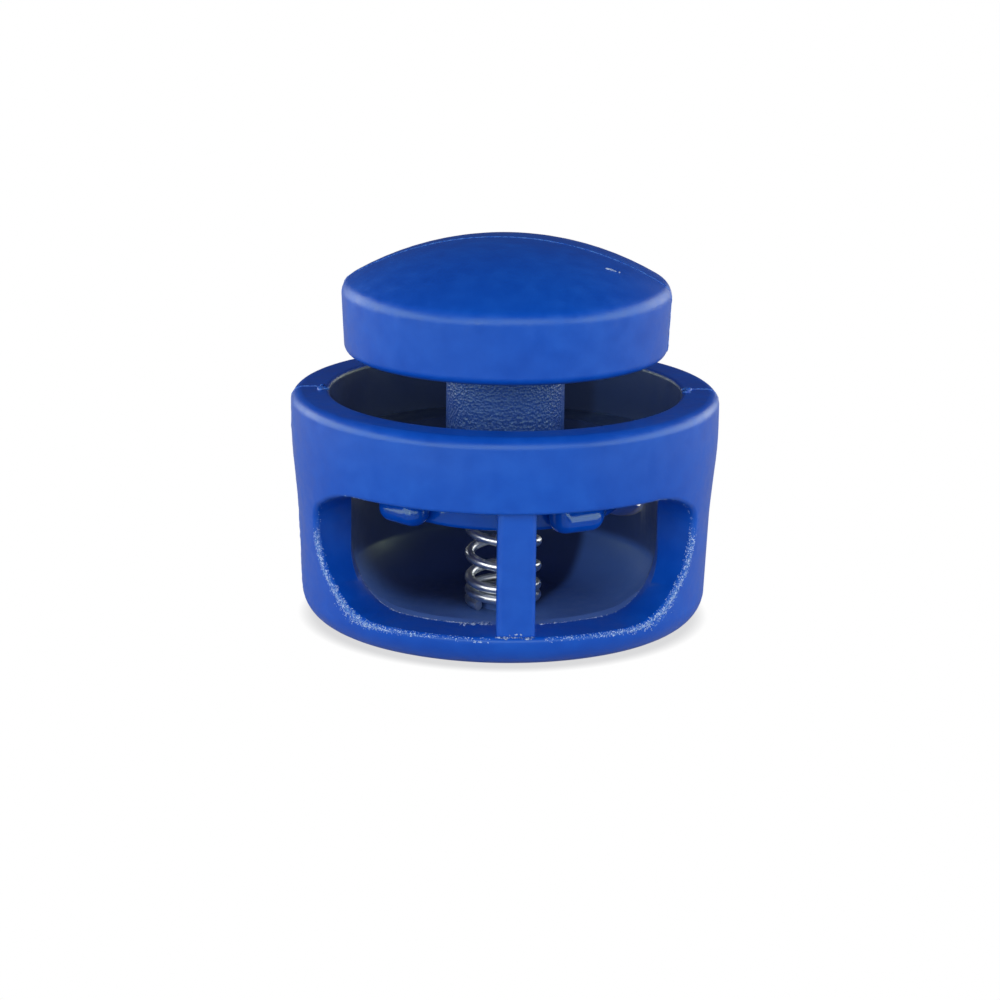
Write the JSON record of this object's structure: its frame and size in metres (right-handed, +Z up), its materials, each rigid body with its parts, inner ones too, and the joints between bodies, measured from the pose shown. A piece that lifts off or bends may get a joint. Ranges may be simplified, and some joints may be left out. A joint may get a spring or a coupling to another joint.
{
  "type": "cord lock",
  "caption": "Round spring cord lock: a barrel housing with cord windows and a domed push plunger that clamps cords under its collar.",
  "frame": {"origin": "centre of the flat underside of the base, on the barrel's axis", "axes": "+Z up along the barrel's axis towards the push cap, -Y towards the front window with its rib, +X to the right of that window"},
  "size_m": [0.0242, 0.0242, 0.0218],
  "materials": {
    "housing_plastic": "satin moulded royal blue",
    "plunger_plastic": "satin moulded royal blue, spark-eroded grain on the stem",
    "spring_steel": "bright zinc-plated spring wire"
  },
  "bodies": {
    "housing": {"housing": "housing_plastic", "spring": "spring_steel"},
    "plunger": {"plunger": "plunger_plastic"}
  },
  "joints": [
    {"name": "plunger_press", "type": "slide", "parent": "housing", "child": "plunger", "axis": [0, 0, -1], "range_m": [0, 0.004], "stiffness_N_per_m": 850, "springref_m": -0.004, "deforming": ["spring"]}
  ]
}
